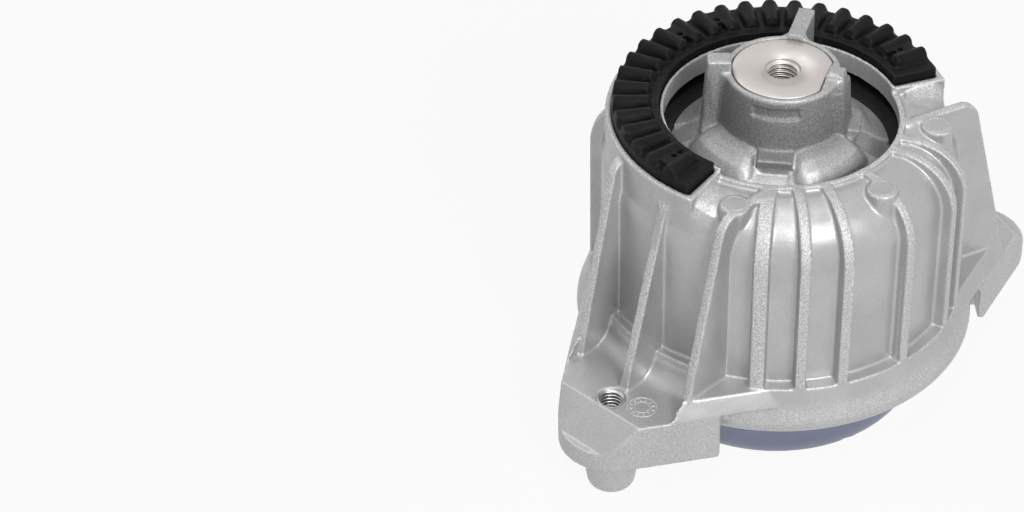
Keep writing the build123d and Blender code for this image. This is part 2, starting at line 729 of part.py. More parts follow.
# Plug in the hole that the fluid is filled through
with BuildPart() as fill_plug:
    with BuildSketch(Plane.XY.offset(upper_plate_z + fit)):
        with Locations(polar(fill_plug_at_r, 180)):
            Circle(fill_plug_r)
    extrude(amount=upper_plate_thickness - fit)
    with BuildSketch(Plane.XY.offset(track_seal_z)):
        with Locations(polar(fill_plug_at_r, 180)):
            Circle(fill_plug_head_r)
    extrude(amount=fill_plug_head)
fill_plug.part.label = "fill_plug"

# Clamping ring over the diaphragm's bead
with BuildPart() as diaphragm_ring:
    with BuildSketch(Plane.XY.offset(diaphragm_ring_z)):
        Circle(stack_r)
        Circle(stack_r - diaphragm_ring_width, mode=Mode.SUBTRACT)
    extrude(amount=diaphragm_ring_thickness)
diaphragm_ring.part.label = "diaphragm_ring"

# Rolling diaphragm inside the cap
with BuildPart() as diaphragm:
    with BuildSketch(Plane.XZ):
        inside_roll = diaphragm_roll_r - diaphragm_wall
        roll_r = diaphragm_skirt_r - diaphragm_roll_r
        with BuildLine():
            Polyline(
                (diaphragm_skirt_r, diaphragm_roll_z),
                (diaphragm_skirt_r, diaphragm_z),
                (stack_r, diaphragm_z),
                (stack_r, diaphragm_ring_z),
                (roll_r + inside_roll, diaphragm_ring_z),
                (roll_r + inside_roll, diaphragm_roll_z),
            )
            ThreePointArc(
                (roll_r + inside_roll, diaphragm_roll_z),
                (roll_r, diaphragm_roll_z - inside_roll),
                (roll_r - inside_roll, diaphragm_roll_z),
            )
            Polyline(
                (roll_r - inside_roll, diaphragm_roll_z),
                (roll_r - inside_roll, diaphragm_crown_z),
                (0, diaphragm_crown_z),
                (0, diaphragm_crown_z - diaphragm_wall),
                (roll_r - diaphragm_roll_r, diaphragm_crown_z - diaphragm_wall),
                (roll_r - diaphragm_roll_r, diaphragm_roll_z),
            )
            ThreePointArc(
                (roll_r - diaphragm_roll_r, diaphragm_roll_z),
                (roll_r, diaphragm_roll_z - diaphragm_roll_r),
                (diaphragm_skirt_r, diaphragm_roll_z),
            )
        make_face()
    revolve(axis=Axis.Z)
diaphragm.part.label = "diaphragm"

# Deep-drawn steel cap, held by its flange and vented through one hole
cap_inner_r = cap_r - cap_wall
cap_inner_round = cap_round - cap_wall
cap_round_r = cap_r - cap_round
with BuildPart() as cap:
    with BuildSketch(Plane.XZ):
        with BuildLine():
            Line((0, 0), (cap_round_r, 0))
            ThreePointArc(
                (cap_round_r, 0),
                (cap_round_r + cap_round * eighth, cap_round * (1 - eighth)),
                (cap_r, cap_round),
            )
            Polyline(
                (cap_r, cap_round),
                (cap_r, cap_flange_z),
                (cap_r + cap_flange_width, cap_flange_z),
                (cap_r + cap_flange_width, diaphragm_z),
                (cap_inner_r, diaphragm_z),
                (cap_inner_r, cap_round),
            )
            ThreePointArc(
                (cap_inner_r, cap_round),
                (cap_round_r + cap_inner_round * eighth, cap_round - cap_inner_round * eighth),
                (cap_round_r, cap_wall),
            )
            Polyline((cap_round_r, cap_wall), (0, cap_wall), (0, 0))
        make_face()
    revolve(axis=Axis.Z)
    vent_x, vent_y = polar(cap_round_r, vent_angle)
    out_x, out_y = polar(cos(radians(vent_tilt)), vent_angle)
    vent_direction = (out_x, out_y, -sin(radians(vent_tilt)))
    with BuildSketch(Plane(origin=(vent_x, vent_y, cap_round), z_dir=vent_direction)):
        Circle(vent_r)
    extrude(amount=2 * cap_round, mode=Mode.SUBTRACT)
cap.part.label = "cap"

# Rubber ring that closes the gap below the crimp
with BuildPart() as edge_seal:
    with BuildSketch(Plane.XY.offset(sleeve_crimp_z - edge_seal_height)):
        Circle(sleeve_r)
        Circle(cap_r + fit, mode=Mode.SUBTRACT)
    extrude(amount=edge_seal_height)
edge_seal.part.label = "edge_seal"

pieces = [
    housing.part,
    stop_pad.part,
    core.part,
    core_insert.part,
    ear_inserts["left"],
    ear_inserts["right"],
    outer_sleeve.part,
    spring_ring.part,
    main_spring.part,
    rebound_stop.part,
    track_seal.part,
    upper_channel_plate.part,
    lower_channel_plate.part,
    decoupler.part,
    fill_plug.part,
    diaphragm_ring.part,
    diaphragm.part,
    cap.part,
    edge_seal.part,
]
os.makedirs("parts", exist_ok=True)
for piece in pieces:
    export_step(piece, f"parts/{piece.label}.step")
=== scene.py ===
import json
from math import cos, pi, radians, sin

import bmesh
import bpy
import numpy as np
from mathutils import Matrix, Vector


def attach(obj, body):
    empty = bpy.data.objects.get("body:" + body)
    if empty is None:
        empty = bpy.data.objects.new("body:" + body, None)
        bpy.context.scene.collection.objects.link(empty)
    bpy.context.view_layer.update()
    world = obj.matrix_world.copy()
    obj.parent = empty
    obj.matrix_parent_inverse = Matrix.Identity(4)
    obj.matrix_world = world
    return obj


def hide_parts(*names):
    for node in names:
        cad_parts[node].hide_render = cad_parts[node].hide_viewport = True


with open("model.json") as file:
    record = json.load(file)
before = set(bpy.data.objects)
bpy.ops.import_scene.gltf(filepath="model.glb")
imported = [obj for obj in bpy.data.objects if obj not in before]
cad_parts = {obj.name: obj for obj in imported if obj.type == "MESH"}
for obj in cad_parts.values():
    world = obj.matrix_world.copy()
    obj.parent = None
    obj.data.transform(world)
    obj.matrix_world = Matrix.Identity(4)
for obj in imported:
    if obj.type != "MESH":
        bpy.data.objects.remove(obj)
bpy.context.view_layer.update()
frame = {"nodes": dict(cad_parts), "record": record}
mm = 0.001

# Sizes in millimetres and angles in degrees, as the solid model has them
ear_reach = 73.61
ear_angles = {"left": 189.5, "right": -9.5}
ear_top_z = 34.5
ear_insert_depth = 0.4
ear_insert_length = 13.0
ear_crest_r = 3.4
pocket_floor_z = 40.0
rib_r = 57.0
rib_round = 16.0
shoulder_z = 82.5
opening_r = 34.8
rim_band = 1.8
housing_top_z = 98.5
pad_lip_z = 100.0
pad_ridge_pitch = 9.0
pad_ridge_count = 23
pad_blocks = [0, 9, 11, 21]
core_foot_z = 97.5
core_top_z = 114.6
disc_flat = 13.0
disc_flat_angle = -56.0
shank_r = 9.0
hub_crest_r = 4.25
hub_depth = 28.0
hub_countersink_r = 5.25

# Steel insert of the core, just inside its solid: rounding as (inset, depth), mouth as (radius, depth)
disc_r = 14.95
disc_top_z = 114.85
disc_bottom_z = 111.25
disc_rounding = [(0.0, 0.3), (0.09, 0.09), (0.3, 0.0)]
shank_bottom_z = 81.25
hub_mouth = [(hub_countersink_r + 0.1, 0.0), (hub_countersink_r, 0.2), (hub_countersink_r - 0.05, 0.8)]
hub_mouth_depth = 1.1
hub_root_r = 4.95
hub_pitch = 1.5
hub_row_height = 0.14

# Coiled inserts of the ears, a little inside their solids
ear_insert_r = 4.25
ear_insert_bevel = 0.1
ear_thread_wall = 0.12
ear_pitch = 1.25
ear_row_height = 0.13

# Flanks of a thread, as a share of its depth, and the radius that a turned shape closes with
thread_steepness = 2.6
thread_root_share = 0.55
axis_r = 0.05

# Round ejector marks on the shoulder: distance from the axis, angle and radius
ejector_marks = [(45.3, -90.5, 4.6), (45.8, -146.8, 4.5), (45.8, -44.5, 4.6)]
ejector_mark_z = 98.3
ejector_mark_depth = 9.0
ejector_mark_flare = 0.7
ejector_mark_bevel = 0.4
ejector_ring_inset = 1.2
ejector_ring_r = 0.18

# Ends of the pad's seat: outline as (distance, height), and the bend of the shell that it runs out into
seat_outline = [
    (52.4, 82.5), (52.0, 88.0), (51.9, 94.0), (51.4, 98.4), (49.6, 99.5), (44.0, 99.5), (39.5, 98.2),
]
seat_spans = [(-160.4, -150.0), (-19.6, -30.0)]
seat_steps = 7
seat_ease = 0.8
shell_bend_at_r = 37.8
shell_bend_r = 14.8

# Swells of the core's base between its stop blocks: section as (distance, height), and shares of the span
swell_section = [
    (15.5, 88.0), (15.5, 99.4), (18.6, 98.7), (22.0, 97.3), (25.2, 94.9), (27.6, 91.8), (29.0, 88.0),
]
swell_shares = [-1, -0.94, -0.87, -0.79, -0.68, -0.45, -0.15, 0.15, 0.45, 0.68, 0.79, 0.87, 0.94, 1]
swell_middles = [-180, -90, 0, 90]
swell_half_span = 32.0
swell_drop = 4.5
swell_drop_power = 7

# Upper end of the small lug beside the disc's flat, with its section as (side, height)
lug_section = [(-1, 111.0), (-1, 116.4), (-0.7, 117.3), (0.7, 117.3), (1, 116.4), (1, 111.0)]
lug_angle = -52
lug_reaches = [13.7, 17.9]
lug_half_width = 2.5
lug_slope = 0.15

# Thin rim round the disc, as (distance, height)
core_rim = [(15.3, 112.0), (15.3, 115.1), (16.7, 115.1), (17.0, 112.0)]

# Ridges of the pad as (distance, half width, height), and their rounded top as (side, drop)
ridge_sections = [
    (38.4, 1.7, 104.3), (39.4, 2.1, 105.6), (48.4, 2.8, 105.75), (49.6, 2.6, 105.0), (50.0, 2.2, 103.8),
]
ridge_top = [(-1, 0.8), (-0.7, 0.25), (0, 0), (0.7, 0.25), (1, 0.8)]
ridge_foot_z = 97.0
first_ridge_angle = -9.0

# Recesses at the inner ends of the pad's blocks, as (distance, half width)
notch_sections = [(38.8, 1.1), (42.0, 0.8)]
notch_floor_z = 102.9
notch_top_z = 106.5

# Dial on the left ear: two rings, and ticks with their section as (side, height)
dial_centre = (-68.3, -21.2)
dial_ring_reaches = [4.3, 2.4]
dial_ring_r = 0.22
dial_ring_rise = 0.02
tick_count = 12
tick_ends = (2.9, 3.8)
tick_half_width = 0.275
tick_section = [(-1, -1), (-1, 0.2), (-0.6, 0.9), (0.6, 0.9), (1, 0.2), (1, -1)]
tick_rise = 0.05


def polar(distance, angle):
    return distance * cos(radians(angle)), distance * sin(radians(angle))


def put(mesh, name, material):
    """Adds a finished mesh to the part, with its finish."""
    piece = bpy.data.objects.new(name, mesh)
    bpy.context.scene.collection.objects.link(piece)
    mesh.materials.clear()
    mesh.materials.append(material)
    mesh.shade_smooth()
    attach(piece, "root")
    return piece


def skin(points, side, name, closed=False):
    """A closed mesh over rows of points in millimetres, where side is the number of points in a row."""
    build = bmesh.new()
    corners = [build.verts.new([value * mm for value in point]) for point in points]
    count = len(points) // side
    for row in range(count if closed else count - 1):
        near = row * side
        far = (row + 1) % count * side
        for step in range(side):
            after = (step + 1) % side
            square = (near + step, near + after, far + after, far + step)
            build.faces.new([corners[index] for index in square])
    if not closed:
        build.faces.new(corners[:side])
        build.faces.new(corners[-side:])
    bmesh.ops.recalc_face_normals(build, faces=build.faces)
    mesh = bpy.data.meshes.new(name)
    build.to_mesh(mesh)
    build.free()
    return mesh


def joined(meshes, name):
    """One mesh from several."""
    build = bmesh.new()
    for mesh in meshes:
        build.from_mesh(mesh)
    whole = bpy.data.meshes.new(name)
    build.to_mesh(whole)
    build.free()
    return whole


def lathe(rows, steps, centre, name, closed=False):
    """Turns rows of (radius, height) about an upright axis, where a radius may go by the angle."""
    points = []
    for radius, height in rows:
        for step in range(steps):
            angle = 2 * pi * step / steps
            reach = radius(angle) if callable(radius) else radius
            points.append((centre[0] + reach * cos(angle), centre[1] + reach * sin(angle), height))
    return skin(points, steps, name, closed)


def thread(root, crest, pitch, height):
    """Radius by angle of an inside thread at one height."""
    def radius(angle):
        turn = (height / pitch - angle / (2 * pi)) % 1.0
        slope = thread_steepness * (1 - abs(2 * turn - 1)) - thread_root_share
        return root + (crest - root) * min(1.0, max(0.0, slope))
    return radius


# Materials
def shader(name):
    material = bpy.data.materials.new(name)
    material.use_nodes = True
    return material, material.node_tree, material.node_tree.nodes["Principled BSDF"]


def noise(tree, scale, detail=3.0, roughness=0.55):
    node = tree.nodes.new("ShaderNodeTexNoise")
    node.inputs["Scale"].default_value = scale
    node.inputs["Detail"].default_value = detail
    node.inputs["Roughness"].default_value = roughness
    place = tree.nodes.new("ShaderNodeTexCoord")
    tree.links.new(place.outputs["Object"], node.inputs["Vector"])
    return node.outputs["Fac"]


def ramp(tree, value, stops):
    """A grey ramp through (place, grey) stops."""
    node = tree.nodes.new("ShaderNodeValToRGB")
    tree.links.new(value, node.inputs["Fac"])
    elements = node.color_ramp.elements
    while len(elements) < len(stops):
        elements.new(0.5)
    for element, (position, grey) in zip(elements, stops):
        element.position = position
        element.color = (grey, grey, grey, 1)
    return node.outputs["Color"]


def mix(tree, factor, first, second, kind="MIX"):
    node = tree.nodes.new("ShaderNodeMix")
    node.data_type = "RGBA"
    node.blend_type = kind
    for socket, value in ((node.inputs[0], factor), (node.inputs[6], first), (node.inputs[7], second)):
        if isinstance(value, bpy.types.NodeSocket):
            tree.links.new(value, socket)
        elif isinstance(value, tuple):
            socket.default_value = (*value, 1)
        else:
            socket.default_value = value
    return node.outputs[2]


def bump(tree, height, strength, distance, below=None):
    node = tree.nodes.new("ShaderNodeBump")
    node.inputs["Distance"].default_value = distance
    if isinstance(strength, bpy.types.NodeSocket):
        tree.links.new(strength, node.inputs["Strength"])
    else:
        node.inputs["Strength"].default_value = strength
    tree.links.new(height, node.inputs["Height"])
    if below is not None:
        tree.links.new(below, node.inputs["Normal"])
    return node.outputs["Normal"]


def edges(tree, low, high):
    """Light on raised edges and dark in flats, from the mesh's own curvature."""
    geometry = tree.nodes.new("ShaderNodeNewGeometry")
    return ramp(tree, geometry.outputs["Pointiness"], [(low, 0.0), (high, 1.0)])


def cast_aluminium(name, tone, grain_and_painted_light_tone, grain, speckle, metallic, edge):
    """Satin panels, with a coarse salt and pepper grain where the casting was blasted or trimmed, and on
    its raised edges. These grainy places take a tone of their own that also holds painted light: lighter on
    the housing, where it is a painted highlight along the raised edges, and darker on the core, where it is
    partly painted shade on the tower.
    """
    material, tree, surface = shader(name)
    marked = tree.nodes.new("ShaderNodeAttribute")
    marked.attribute_name = "grain"
    # Raised edges, found from the mesh's curvature, join the grain marks; on the housing their lighter
    # grainy tone is a painted highlight
    raised = mix(tree, 1.0, edges(tree, edge, edge + 0.03), marked.outputs["Fac"], "LIGHTEN")
    cloud = ramp(tree, noise(tree, scale=55.0, detail=4.0), [(0.35, 0.93), (0.65, 1.05)])
    salt = noise(tree, scale=2300.0, detail=2.0, roughness=0.8)
    grit = ramp(tree, salt, [(0.38, 0.78), (0.5, 1.05), (0.62, 1.4)])
    plain = mix(tree, 1.0, tone, cloud, "MULTIPLY")
    gritty = mix(tree, speckle, plain, grit, "MULTIPLY")
    # Tone of the grainy places, which also holds painted light: a painted highlight on the housing's raised
    # edges, and partly painted shade on the core's tower
    grain_and_painted_light = mix(tree, 1.0, grain_and_painted_light_tone, grit, "MULTIPLY")
    tree.links.new(mix(tree, raised, gritty, grain_and_painted_light), surface.inputs["Base Color"])
    rough = ramp(tree, noise(tree, scale=240.0, detail=4.0), [(0.3, 0.3), (0.7, 0.42)])
    tree.links.new(mix(tree, raised, rough, (0.55, 0.55, 0.55)), surface.inputs["Roughness"])
    surface.inputs["Metallic"].default_value = metallic
    waves = noise(tree, scale=420.0, detail=3.0)
    pores = noise(tree, scale=1700.0, detail=2.0, roughness=0.7)
    blasting = noise(tree, scale=1300.0, detail=2.0, roughness=0.7)
    uneven = bump(tree, waves, strength=0.2, distance=0.0002)
    fine = bump(tree, pores, strength=grain, distance=0.00012, below=uneven)
    coarse = bump(tree, blasting, strength=raised, distance=0.00025, below=fine)
    tree.links.new(coarse, surface.inputs["Normal"])
    return material


def steel(name, tone, rough_low, rough_high, metallic=1.0):
    """Plain steel with faint clouds, from low to high roughness."""
    material, tree, surface = shader(name)
    cloud = ramp(tree, noise(tree, scale=70.0, detail=5.0), [(0.3, 0.92), (0.7, 1.05)])
    tree.links.new(mix(tree, 1.0, tone, cloud, "MULTIPLY"), surface.inputs["Base Color"])
    rough = ramp(tree, noise(tree, scale=300.0, detail=4.0), [(0.3, rough_low), (0.7, rough_high)])
    tree.links.new(rough, surface.inputs["Roughness"])
    surface.inputs["Metallic"].default_value = metallic
    uneven = bump(tree, noise(tree, scale=900.0, detail=3.0), strength=0.12, distance=0.0001)
    tree.links.new(uneven, surface.inputs["Normal"])
    return material


def rubber(name, tone, rough):
    """Matte black rubber, a little paler on its raised edges."""
    material, tree, surface = shader(name)
    raised = edges(tree, 0.51, 0.56)
    cloud = ramp(tree, noise(tree, scale=120.0, detail=5.0), [(0.3, 0.75), (0.7, 1.3)])
    plain = mix(tree, 1.0, tone, cloud, "MULTIPLY")
    # Paler tone on the raised edges
    pale_edge_tone = mix(tree, 0.6, tone, (0.03, 0.03, 0.032))
    tree.links.new(mix(tree, raised, plain, pale_edge_tone), surface.inputs["Base Color"])
    surface.inputs["Specular IOR Level"].default_value = 0.12
    patches = ramp(tree, noise(tree, scale=350.0, detail=4.0), [(0.3, rough - 0.08), (0.7, rough + 0.1)])
    tree.links.new(patches, surface.inputs["Roughness"])
    uneven = bump(tree, noise(tree, scale=800.0, detail=4.0), strength=0.3, distance=0.00015)
    tree.links.new(uneven, surface.inputs["Normal"])
    return material


# Its lighter grainy tone is the blasted grain, and on raised edges a painted highlight
housing_metal = cast_aluminium(
    "housing_metal", tone=(0.53, 0.53, 0.535), grain_and_painted_light_tone=(0.6, 0.6, 0.605),
    grain=0.3, speckle=0.2, metallic=0.42, edge=0.51,
)
# Its darker grainy tone is partly grit and partly painted shade on the tower
core_metal = cast_aluminium(
    "core_metal", tone=(0.53, 0.53, 0.53), grain_and_painted_light_tone=(0.28, 0.28, 0.28),
    grain=0.7, speckle=0.75, metallic=0.36, edge=0.6,
)
disc_steel = steel("disc_steel", (0.56, 0.53, 0.51), rough_low=0.38, rough_high=0.48)
thread_steel = steel("thread_steel", (0.55, 0.54, 0.53), rough_low=0.25, rough_high=0.35)
cap_steel = steel("cap_steel", (0.21, 0.225, 0.305), rough_low=0.36, rough_high=0.46)
black_steel = steel("black_steel", (0.03, 0.03, 0.032), rough_low=0.4, rough_high=0.5, metallic=0.0)
plate_metal = steel("plate_metal", (0.6, 0.6, 0.61), rough_low=0.35, rough_high=0.45)
pad_rubber = rubber("pad_rubber", (0.009, 0.009, 0.01), rough=0.5)
spring_rubber = rubber("spring_rubber", (0.006, 0.006, 0.006), rough=0.6)

finishes = {
    "cast_housing": housing_metal,
    "cast_core": core_metal,
    "insert_steel": disc_steel,
    "thread_steel": thread_steel,
    "pad_rubber": pad_rubber,
    "spring_rubber": spring_rubber,
    "coated_steel": black_steel,
    "plate_aluminium": plate_metal,
    "cap_steel": cap_steel,
}
for row in frame["record"]["subparts"]:
    mesh = frame["nodes"][row["node"]].data
    mesh.materials.clear()
    mesh.materials.append(finishes[row["material_slot"]])


# Castings and moulded rubber with soft edges, in place of the sharp solids
def shown(piece):
    """A new mesh of an object with its modifiers applied."""
    return bpy.data.meshes.new_from_object(piece.evaluated_get(bpy.context.evaluated_depsgraph_get()))


def cut(mesh, cutters):
    """A mesh with closed shapes taken out of it."""
    body = bpy.data.objects.new("body", mesh.copy())
    tool = bpy.data.objects.new("tool", joined(cutters, "cutters"))
    for piece in (body, tool):
        bpy.context.scene.collection.objects.link(piece)
    carve = body.modifiers.new("carve", "BOOLEAN")
    carve.operation = "DIFFERENCE"
    carve.object = tool
    carved = shown(body)
    for piece in (body, tool):
        bpy.data.objects.remove(piece)
    return carved


def shells_of(shape):
    """The points of each separate shell of a shape, with the largest shell last."""
    left = set(shape.verts)
    shells = []
    while left:
        front = [left.pop()]
        shell = list(front)
        while front:
            vertex = front.pop()
            for edge in vertex.link_edges:
                other = edge.other_vert(vertex)
                if other in left:
                    left.remove(other)
                    shell.append(other)
                    front.append(other)
        shells.append(shell)
    return sorted(shells, key=len)


def drop_strays(mesh):
    """Takes out the specks that remeshing leaves inside a mesh."""
    shape = bmesh.new()
    shape.from_mesh(mesh)
    strays = [vertex for shell in shells_of(shape)[:-1] for vertex in shell]
    bmesh.ops.delete(shape, geom=strays, context="VERTS")
    shape.to_mesh(mesh)
    shape.free()


def rounded(mesh, name, voxel, passes, triangles):
    """One skin with soft edges over a mesh, thinned to about a number of triangles."""
    work = bpy.data.objects.new(name + "_work", mesh)
    bpy.context.scene.collection.objects.link(work)
    remesh = work.modifiers.new("remesh", "REMESH")
    remesh.mode = "VOXEL"
    remesh.voxel_size = voxel * mm
    smooth = work.modifiers.new("smooth", "SMOOTH")
    smooth.factor = 0.5
    smooth.iterations = passes
    dense = shown(work)
    work.modifiers.clear()
    work.data = dense
    thin = work.modifiers.new("thin", "DECIMATE")
    thin.ratio = triangles / (2 * len(dense.polygons))
    thinned = shown(work)
    bpy.data.objects.remove(work)
    drop_strays(thinned)
    return thinned


def soften(node, name, material, voxel, passes, triangles, marks=None, extras=(), cutters=()):
    """Shows a node with soft edges, with closed shapes joined to it or cut from it."""
    solid = frame["nodes"][node].data
    if cutters:
        solid = cut(solid, cutters)
    mesh = rounded(joined([solid, *extras], name + "_shape"), name, voxel, passes, triangles)
    if marks:
        keep_grain_and_shade(mesh, marks)
    piece = put(mesh, name, material)
    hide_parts(node)


# How grainy the castings are at a point, from 0 to 1, which on the core also lays painted shade on the
# tower, with less of it at the rim and lugs
ear_wall_grain = 0.5
# Share of grain, and so of painted shade, left off the core's rim and lugs, which makes them lighter as
# partly painted light
core_rim_polish_and_light = 0.85


def rise(values, low, high):
    """From 0 at a low value to 1 at a high one."""
    return np.clip((values - low) / (high - low), 0, 1)


def keep_grain_and_shade(mesh, marks):
    """Keeps on each point of a mesh how grainy the casting is there, which on the core also carries painted
    shade.
    """
    count = len(mesh.vertices)
    places = np.empty(3 * count)
    mesh.vertices.foreach_get("co", places)
    places = places.reshape(-1, 3) / mm
    normals = np.empty(3 * count)
    mesh.vertex_normals.foreach_get("vector", normals)
    normals = normals.reshape(-1, 3)
    layer = mesh.attributes.new("grain", "FLOAT", "POINT")
    layer.data.foreach_set("value", np.clip(marks(places, normals), 0, 1))


def housing_grain(places, normals):
    """Faces of the ribs and gussets, the rim, the lip of the pad's seat and the upright walls below."""
    reach = np.hypot(places[:, 0], places[:, 1])
    height = places[:, 2]
    outward = (normals[:, 0] * places[:, 0] + normals[:, 1] * places[:, 1]) / reach
    upward = normals[:, 2]
    faces = rise(reach, rib_r - 1.2, rib_r - 0.6) * rise(outward, 0.6, 0.8)
    faces *= rise(height, pocket_floor_z, pocket_floor_z + 1)
    over = height - shoulder_z
    along = reach - (rib_r - rib_round)
    bend = np.hypot(over, along)
    facing = (upward * over + outward * along) / np.maximum(bend, 1)
    bends = rise(bend, rib_round - 0.9, rib_round - 0.5) * rise(facing, 0.6, 0.8)
    bends *= rise(over, -1, 0) * rise(along, -4, 0)
    rim = rise(height, housing_top_z - 0.6, housing_top_z - 0.3) * rise(upward, 0.4, 0.7)
    rim *= reach < opening_r + rim_band + 1
    lip = rise(height, pad_lip_z - 0.7, pad_lip_z - 0.4)
    walls = ear_wall_grain * rise(ear_top_z + 0.5 - height, 0, 1) * rise(1 - np.abs(upward), 0.2, 0.6)
    grainy = np.maximum.reduce([faces, bends, rim, lip, walls])
    for distance, angle, radius in ejector_marks:
        x, y = polar(distance, angle)
        grainy *= rise(np.hypot(places[:, 0] - x, places[:, 1] - y), radius - 0.5, radius + 0.5)
    return grainy


def core_grain_and_shade(places, normals):
    """The rough tower, whose darker tone is partly grit and partly painted shade, but hardly its rim and
    lugs, which keep the lighter tone as partly painted light, and not the base.
    """
    height = places[:, 2]
    tower = rise(height, core_foot_z - 2.5, core_foot_z + 1.5)
    return tower * (1 - core_rim_polish_and_light * rise(height, core_top_z - 1.0, core_top_z - 0.3))


# Closed shapes that join the solids or cut them before their edges are softened
def boss(distance, angle, radius):
    """Round ejector mark that stands on the shoulder."""
    foot_z = ejector_mark_z - ejector_mark_depth
    rows = [
        (axis_r, foot_z),
        (radius + ejector_mark_flare, foot_z),
        (radius, ejector_mark_z - ejector_mark_bevel),
        (radius - ejector_mark_bevel, ejector_mark_z),
        (axis_r, ejector_mark_z),
    ]
    return lathe(rows, steps=40, centre=polar(distance, angle), name="boss")


def seat_end(first, last):
    """Shoulder at an end of the pad's seat, from its full outline to the shell's round bend."""
    points = []
    for step in range(seat_steps):
        share = step / (seat_steps - 1)
        angle = first + (last - first) * share
        blend = share ** seat_ease
        for number, (reach, height) in enumerate(seat_outline):
            turn = radians(90 * number / (len(seat_outline) - 1))
            round_r = shell_bend_at_r + shell_bend_r * cos(turn)
            round_z = shoulder_z + shell_bend_r * sin(turn)
            place = polar(reach + (round_r - reach) * blend, angle)
            points.append((*place, height + (round_z - height) * blend))
        points.append((*polar(seat_outline[-1][0], angle), shoulder_z))
    return skin(points, len(seat_outline) + 1, "seat_end")


def swell(middle):
    """Raised part of the core's base, between the grooves below two stop blocks."""
    points = []
    for share in swell_shares:
        drop = swell_drop * abs(share) ** swell_drop_power
        angle = middle + swell_half_span * share
        points += [(*polar(reach, angle), height - drop) for reach, height in swell_section]
    return skin(points, len(swell_section), "swell")


def lug_end():
    """Upper end of the small lug, which falls a little outward."""
    points = []
    dx, dy = polar(lug_half_width, lug_angle + 90)
    for reach in lug_reaches:
        x, y = polar(reach, lug_angle)
        drop = (reach - lug_reaches[0]) * lug_slope
        points += [(x + side * dx, y + side * dy, height - drop) for side, height in lug_section]
    return skin(points, len(lug_section), "lug_end")


def ridge(angle):
    """Fuller ridge of the pad, wider at its outer end."""
    points = []
    for reach, half, top in ridge_sections:
        x, y = polar(reach, angle)
        dx, dy = polar(half, angle + 90)
        rounding = [(side, top - drop * half) for side, drop in ridge_top]
        for side, height in [(-1, ridge_foot_z), *rounding, (1, ridge_foot_z)]:
            points.append((x + side * dx, y + side * dy, height))
    return skin(points, len(ridge_top) + 2, "ridge")


def notch(angle):
    """Cutter for the small recess at the inner end of a block."""
    points = []
    for reach, half in notch_sections:
        x, y = polar(reach, angle)
        dx, dy = polar(half, angle + 90)
        points += [(x - dx, y - dy, notch_floor_z), (x + dx, y + dy, notch_floor_z)]
        points += [(x + dx, y + dy, notch_top_z), (x - dx, y - dy, notch_top_z)]
    return skin(points, 4, "notch")


bosses = [boss(*mark) for mark in ejector_marks]
seat_ends = [seat_end(*span) for span in seat_spans]
swells = [swell(middle) for middle in swell_middles]
rim = lathe(core_rim, steps=96, centre=(0, 0), name="rim", closed=True)
ridges = [ridge(first_ridge_angle + pad_ridge_pitch * number) for number in range(pad_ridge_count)]
notches = [notch(first_ridge_angle + pad_ridge_pitch * (block + 0.5)) for block in pad_blocks]
soften(
    "housing", "housing_casting", housing_metal,
    voxel=0.43, passes=5, triangles=190000, marks=housing_grain, extras=[*bosses, *seat_ends],
)
soften(
    "core", "core_casting", core_metal,
    voxel=0.4, passes=9, triangles=90000, marks=core_grain_and_shade, extras=[*swells, lug_end(), rim],
)
soften(
    "stop_pad", "stop_pad_moulding", pad_rubber,
    voxel=0.32, passes=4, triangles=90000, extras=ridges, cutters=notches,
)


# Steel insert of the core: a disc with one flat, its shank, and the thread inside
def disc_edge(inset):
    """Radius by angle of the disc's edge, drawn in by an inset."""
    def radius(angle):
        turn = cos(angle - radians(disc_flat_angle))
        reach = disc_r - inset
        return min(reach, (disc_flat - inset) / turn) if turn > 0.5 else reach
    return radius


thread_top_z = disc_top_z - hub_mouth_depth
thread_bottom_z = disc_top_z - hub_depth
rows = [
    (axis_r, shank_bottom_z),
    (shank_r, shank_bottom_z),
    (shank_r, disc_bottom_z),
    (disc_edge(0), disc_bottom_z),
]
rows += [(disc_edge(inset), disc_top_z - depth) for inset, depth in disc_rounding]
rows += [(radius, disc_top_z - depth) for radius, depth in hub_mouth]
rows.append((hub_root_r, thread_top_z))
for line in range(1, int((thread_top_z - thread_bottom_z) / hub_row_height)):
    height = thread_top_z - hub_row_height * line
    rows.append((thread(hub_root_r, hub_crest_r, hub_pitch, height), height))
rows.append((axis_r, thread_bottom_z))
turned = lathe(rows, steps=96, centre=(0, 0), name="core_insert_threaded")
insert = put(turned, "core_insert_threaded", disc_steel)
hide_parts("core_insert")

# Coiled thread inserts in the ears
top_z = ear_top_z - ear_insert_depth
low_z = top_z - ear_insert_length
rows = [(ear_insert_r, top_z - ear_insert_bevel), (ear_insert_r, low_z)]
for line in range(int(ear_insert_length / ear_row_height)):
    height = low_z + ear_row_height * line
    rows.append((thread(ear_insert_r - ear_thread_wall, ear_crest_r, ear_pitch, height), height))
rows.append((ear_insert_r - ear_insert_bevel, top_z))
for side, angle in ear_angles.items():
    name = "ear_thread_" + side
    turned = lathe(rows, steps=56, centre=polar(ear_reach, angle), name=name, closed=True)
    coil = put(turned, name, thread_steel)
    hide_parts("ear_insert_" + side)


# Thin rings and ticks cast on the housing
def ring(centre, height, radius, thick, name):
    rows = []
    for step in range(8):
        turn = 2 * pi * step / 8
        rows.append((radius + thick * cos(turn), height + thick * sin(turn)))
    return lathe(rows, steps=48, centre=centre, name=name, closed=True)


